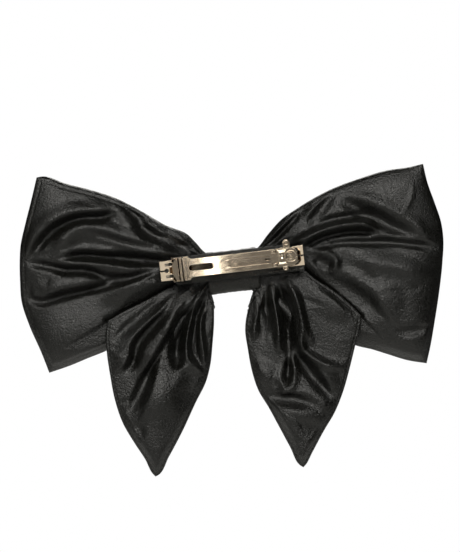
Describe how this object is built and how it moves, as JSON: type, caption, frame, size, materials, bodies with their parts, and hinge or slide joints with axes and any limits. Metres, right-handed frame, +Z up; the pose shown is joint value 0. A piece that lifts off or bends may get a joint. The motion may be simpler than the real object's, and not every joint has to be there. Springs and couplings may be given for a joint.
{
  "type": "hair bow",
  "caption": "Large gathered leatherette hair bow with two loops, two pointed tails and a tied centre, sewn on a metal spring barrette with a hinged bar and squeeze clasp.",
  "frame": {"origin": "middle of the clip's base plate, on the face that the hair lies on", "axes": "+Z up with the tails hanging down, +X along the bow's width to the right as seen from the clip's side, +Y away from the head, towards the bow's showy side"},
  "size_m": [0.2367, 0.0328, 0.1731],
  "materials": {
    "leatherette": "satin black leatherette with a fine pressed grain",
    "black_thread": "black polyester thread",
    "nickel_plate": "bright nickel-plated stamped steel with a warm grey tone",
    "spring_leaf": "nickel-plated spring steel"
  },
  "bodies": {
    "bow": {"base_plate": "nickel_plate", "hinge_pin": "nickel_plate", "clasp_bracket": "nickel_plate", "clasp_rivet": "nickel_plate", "backing_strip": "leatherette", "center_band": "leatherette", "gathered_core": "leatherette", "backing_stitches": "black_thread", "plate_stitches": "black_thread", "left_loop_back_panel": "leatherette", "left_loop_front_panel": "leatherette", "right_loop_back_panel": "leatherette", "right_loop_front_panel": "leatherette", "left_tail_back_panel": "leatherette", "left_tail_front_panel": "leatherette", "right_tail_back_panel": "leatherette", "right_tail_front_panel": "leatherette"},
    "arm": {"top_bar": "nickel_plate"},
    "leaf": {"tension_bar": "spring_leaf"},
    "upper_ear": {"upper_release_ear": "nickel_plate"},
    "lower_ear": {"lower_release_ear": "nickel_plate"}
  },
  "joints": [
    {"name": "top_bar_hinge", "type": "hinge", "parent": "bow", "child": "arm", "pos_m": [-0.02801, -0.00752, -0.00324], "axis": [0.1149, 0, -0.9934], "range_deg": [0, 80]},
    {"name": "tension_leaf_flex", "type": "hinge", "parent": "bow", "child": "leaf", "pos_m": [-0.02384, -0.00214, -0.00276], "axis": [-0.1149, 0, 0.9934], "range_deg": [0, 3.5], "stiffness_Nm_per_rad": 0.6},
    {"name": "upper_ear_squeeze", "type": "slide", "parent": "bow", "child": "upper_ear", "axis": [0.1149, 0, -0.9934], "range_m": [0, 0.0008], "stiffness_N_per_m": 1200},
    {"name": "lower_ear_squeeze", "type": "slide", "parent": "bow", "child": "lower_ear", "axis": [-0.1149, 0, 0.9934], "range_m": [0, 0.0008], "stiffness_N_per_m": 1200}
  ],
  "couplings": [
    {"joint": "lower_ear_squeeze", "follows": "upper_ear_squeeze", "ratio": 1}
  ]
}
